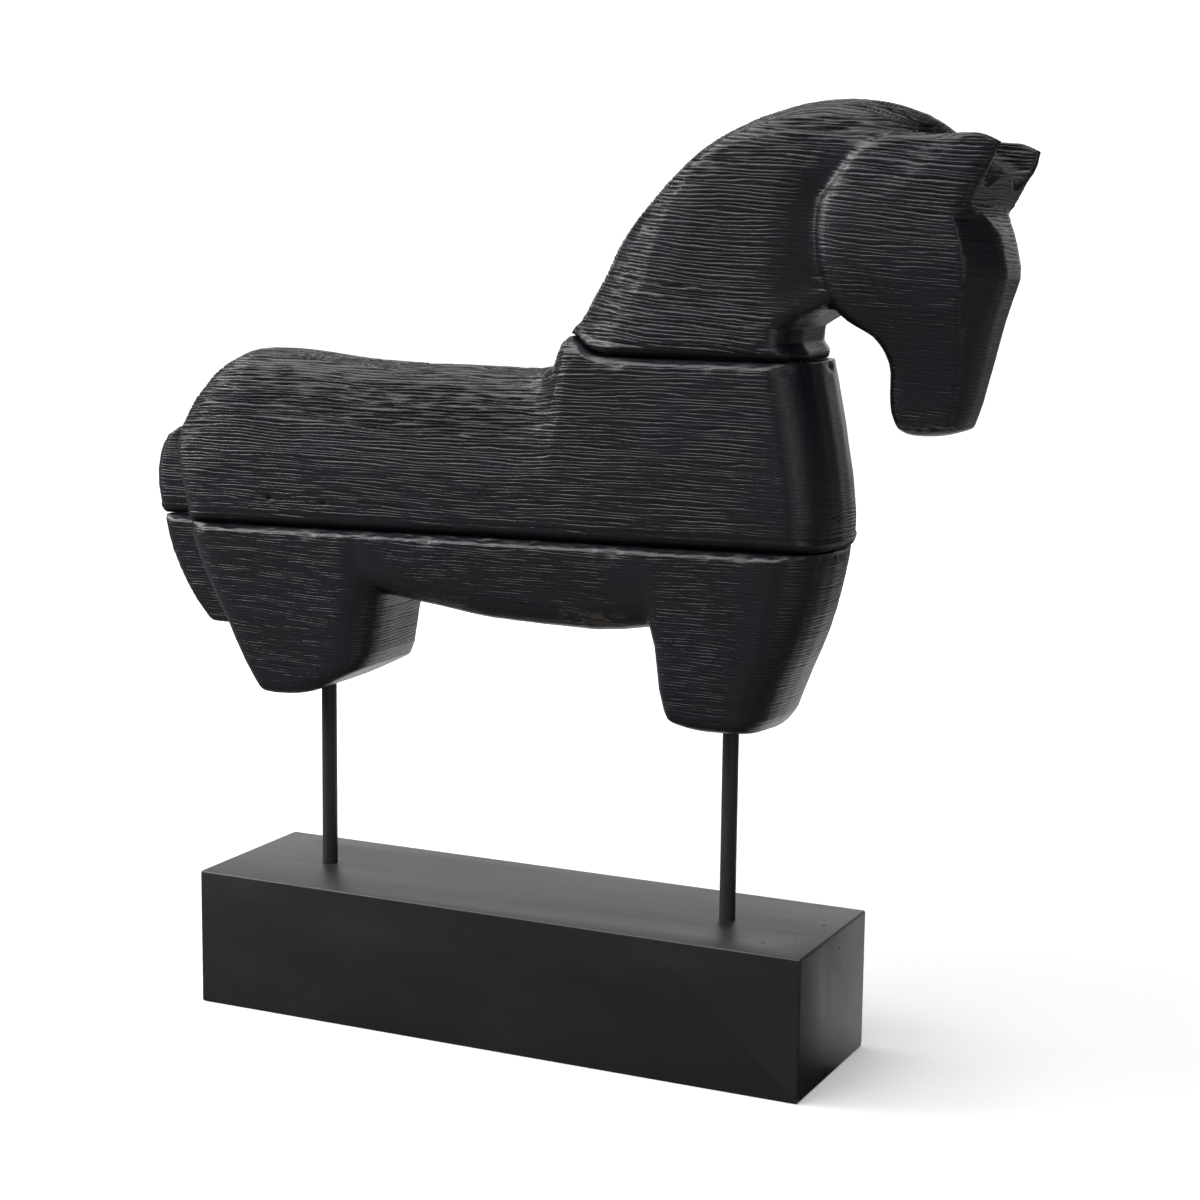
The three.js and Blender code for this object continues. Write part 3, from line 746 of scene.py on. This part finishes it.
def plinthBoard(name, low, high, drilled):
    s = plinthSettings
    bpy.ops.object.select_all(action="DESELECT")
    bpy.ops.mesh.primitive_cube_add(size=1, location=(0, (low + high) / 2 * mm, s["height"] / 2 * mm))
    board = bpy.context.object
    board.name = name
    board.data.name = name
    board.scale = (s["length"] * mm, (high - low) * mm, s["height"] * mm)
    applyPlace(board)
    glued = high if high < 0 else low
    bpy.ops.object.mode_set(mode="EDIT")
    bpy.ops.mesh.select_mode(type="EDGE")
    bpy.ops.mesh.select_all(action="DESELECT")
    bpy.ops.object.mode_set(mode="OBJECT")
    for edge in board.data.edges:
        ends = [board.data.vertices[i].co for i in edge.vertices]
        edge.select = not all(abs(e.y - glued * mm) < 1e-6 for e in ends)
    bpy.ops.object.mode_set(mode="EDIT")
    bpy.ops.mesh.bevel(offset=s["arris"] * mm, segments=4, profile=0.5, affect="EDGES")
    bpy.ops.object.mode_set(mode="OBJECT")
    if drilled:
        for x in s["rods"]:
            foot = s["counterboreDepth"] + s["woodOverBolt"]
            drill(board, x, foot, s["height"] + 5, s["rodHole"])
            drill(board, x, s["counterboreDepth"] - 1, foot + 1, s["boltHole"])
            drill(board, x, -5, s["counterboreDepth"], s["counterbore"])
    for place, size in plinthWear[name]:
        nick(board, place, size)
    onlyThis(board)
    bpy.ops.object.shade_smooth_by_angle(angle=math.radians(18))
    return board


rodSettings = {
    "diameter": 8.5,
    "foot": 30.5,
    "top": 238.5,
    "ends": 0.5,       # bevel
    "tapped": 3.3,     # the bolt's hole in the rod's foot
    "tapDepth": 15.0,
}


def rod(name, x):
    s = rodSettings
    bpy.ops.object.select_all(action="DESELECT")
    bpy.ops.mesh.primitive_cylinder_add(vertices=64, radius=s["diameter"] / 2 * mm,
                                        depth=(s["top"] - s["foot"]) * mm,
                                        location=(x * mm, 0, (s["top"] + s["foot"]) / 2 * mm))
    made = bpy.context.object
    made.name = name
    made.data.name = name
    applyPlace(made)
    bpy.ops.object.mode_set(mode="EDIT")
    bpy.ops.mesh.select_mode(type="EDGE")
    bpy.ops.mesh.select_all(action="DESELECT")
    bpy.ops.object.mode_set(mode="OBJECT")
    for edge in made.data.edges:
        ends = [made.data.vertices[i].co for i in edge.vertices]
        edge.select = abs(ends[0].z - ends[1].z) < 1e-6
    bpy.ops.object.mode_set(mode="EDIT")
    bpy.ops.mesh.bevel(offset=s["ends"] * mm, segments=2, affect="EDGES")
    bpy.ops.object.mode_set(mode="OBJECT")
    drill(made, x, s["foot"] - 2, s["foot"] + s["tapDepth"], s["tapped"])
    onlyThis(made)
    bpy.ops.object.shade_smooth_by_angle(angle=math.radians(35))
    return made


# floor, world and lamps

lightSettings = {
    "backdrop": 1.3,
    "room": 0.07,                      # the dim rest of the studio, which the object mirrors
    "toBackdrop": (-0.35, 0.94, 0.0),  # behind the object and a little to its left
    "backdropEdge": (0.74, 0.95),      # cosines of the angle from it: where it ends and where it is full
    "lampsAim": (0, 0, 0.28),
    "top": {"place": (-0.45, -0.45, 1.5), "size": 1.9, "power": 32.0},
    "left": {"place": (-1.5, -0.35, 1.1), "size": 1.0, "power": 16.0},
    "fill": {"place": (1.25, -1.05, 0.6), "size": 0.8, "power": 2.0},
}


def addLamp(name, settings):
    bpy.ops.object.light_add(type="AREA", location=settings["place"])
    lamp = bpy.context.object
    lamp.name = name
    lamp.data.size = settings["size"]
    lamp.data.energy = settings["power"]
    toObject = Vector(lightSettings["lampsAim"]) - Vector(settings["place"])
    lamp.rotation_euler = toObject.to_track_quat("-Z", "Y").to_euler()


def whiteWorld():
    # white to the camera all round; to the object a white backdrop behind it in a dim room
    world = bpy.data.worlds.new("studio")
    bpy.context.scene.world = world
    world.use_nodes = True
    tree = world.node_tree
    tree.nodes.clear()
    nodes = {}
    for name, kind in (
        ("ray", "LightPath"), ("place", "TexCoord"), ("aim", "VectorMath"), ("turn", "MapRange"),
        ("glow", "Math"), ("sky", "Background"), ("out", "OutputWorld"),
    ):
        nodes[name] = tree.nodes.new("ShaderNode" + kind)
    nodes["aim"].operation = "DOT_PRODUCT"
    nodes["aim"].inputs[1].default_value = lightSettings["toBackdrop"]
    nodes["turn"].interpolation_type = "SMOOTHSTEP"
    low, high = lightSettings["backdropEdge"]
    turns = {"From Min": low, "From Max": high}
    turns.update({"To Min": lightSettings["room"], "To Max": lightSettings["backdrop"]})
    for key, value in turns.items():
        nodes["turn"].inputs[key].default_value = value
    nodes["glow"].operation = "MAXIMUM"
    tree.links.new(nodes["place"].outputs["Generated"], nodes["aim"].inputs[0])
    tree.links.new(nodes["aim"].outputs["Value"], nodes["turn"].inputs["Value"])
    tree.links.new(nodes["turn"].outputs["Result"], nodes["glow"].inputs[0])
    tree.links.new(nodes["ray"].outputs["Is Camera Ray"], nodes["glow"].inputs[1])
    tree.links.new(nodes["glow"].outputs[0], nodes["sky"].inputs["Strength"])
    tree.links.new(nodes["sky"].outputs[0], nodes["out"].inputs["Surface"])
    nodes["sky"].inputs["Color"].default_value = (1, 1, 1, 1)


floorSettings = {
    "seen": (0.93, 0.93, 0.93),       # to the camera
    "around": (0.12, 0.12, 0.12),     # to the object
    "near": 0.31,                     # added white, which grows to 1 where the lamps don't reach
    "reached": (0.35, 1.1),           # from where to where it grows, m
    "dim": 0.12,                      # what the object mirrors of it, away from the backdrop
    "mirrorMiddle": (0.2, 0.0, 0.0),  # the bright floor below the backdrop, as seen from here
    "mirrorEdge": (0.6, 0.86),        # cosines, as for the backdrop
    "mirrorFrom": (-0.02, 0.1),       # it begins behind the object, m
}


def paleFloor():
    bpy.ops.object.select_all(action="DESELECT")
    bpy.ops.mesh.primitive_plane_add(size=12, location=(0, 0, 0))
    floor = bpy.context.object
    floor.name = "floor"
    s = floorSettings
    finish = Finish("pale floor")
    seen = finish.node("ShaderNodeLightPath", {}, [], "Is Camera Ray")
    mirrored = finish.node("ShaderNodeLightPath", {}, [], "Is Glossy Ray")
    finish.set(Base_Color=finish.mix(seen, s["around"], s["seen"]))
    finish.set(Roughness=0.8, Specular_IOR_Level=0.1)
    away = finish.node("ShaderNodeVectorMath", {"operation": "LENGTH"}, [finish.place], "Value")
    far = away.between(*s["reached"])
    middle = s["mirrorMiddle"]
    aside = finish.node("ShaderNodeVectorMath", {"operation": "SUBTRACT"}, [finish.place, middle])
    ahead = finish.node("ShaderNodeVectorMath", {"operation": "NORMALIZE"}, [aside])
    toBackdrop = lightSettings["toBackdrop"]
    aim = finish.node("ShaderNodeVectorMath", {"operation": "DOT_PRODUCT"}, [ahead, toBackdrop], "Value")
    backwards = finish.node("ShaderNodeSeparateXYZ", {}, [finish.place], "Y")
    behind = aim.between(*s["mirrorEdge"]) * (1 - far) * backwards.between(*s["mirrorFrom"])
    dim = far * s["dim"]
    white = seen * (s["near"] + far * (1 - s["near"]))
    white = white + mirrored * (dim + behind * (1 - dim))
    glow = finish.node("ShaderNodeEmission", {}, {"Color": (1.0, 1.0, 1.0), "Strength": white})
    lit = finish.node("ShaderNodeAddShader", {}, [Signal(finish, finish.surface.outputs[0]), glow])
    finish.tree.links.new(lit.socket, finish.tree.nodes["Material Output"].inputs["Surface"])
    dress(floor, finish.material)


# the making

bpy.context.scene.view_settings.view_transform = "Standard"
placeCamera(cameraSettings)
whiteWorld()
paleFloor()
addLamp("topLamp", lightSettings["top"])
addLamp("leftLamp", lightSettings["left"])
addLamp("fillLamp", lightSettings["fill"])
stage("camera, floor and lamps")

blackCarved = carvedPaint()
for node, settings in blocks.items():
    block = carveBlock(node, settings)
    dress(block, blackCarved)
    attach(block, "root")
    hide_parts(node)
    stage("%s carved: %d faces" % (settings["name"], len(block.data.polygons)))

blackPlinth = plinthPaint()
for name, (low, high), node, drilled in (
    ("plinthFront", plinthSettings["front"], "plinth_front_board", False),
    ("plinthRear", plinthSettings["rear"], "plinth_rear_board", True),
):
    board = plinthBoard(name, low, high, drilled)
    dress(board, blackPlinth)
    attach(board, "root")
    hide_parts(node)
stage("plinth")

blackRod = rodPaint()
for name, x, node in (
    ("rearRod", plinthSettings["rods"][0], "rear_rod"),
    ("frontRod", plinthSettings["rods"][1], "front_rod"),
):
    made = rod(name, x)
    dress(made, blackRod)
    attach(made, "root")
    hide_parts(node)
stage("rods")

beech = beechWood()
zinc = zincSteel()
for node, piece in frame["nodes"].items():
    if node.endswith("dowel"):
        dress(piece, beech)
    if node.endswith("bolt") or node.endswith("washer"):
        dress(piece, zinc)

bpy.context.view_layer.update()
stage("done")
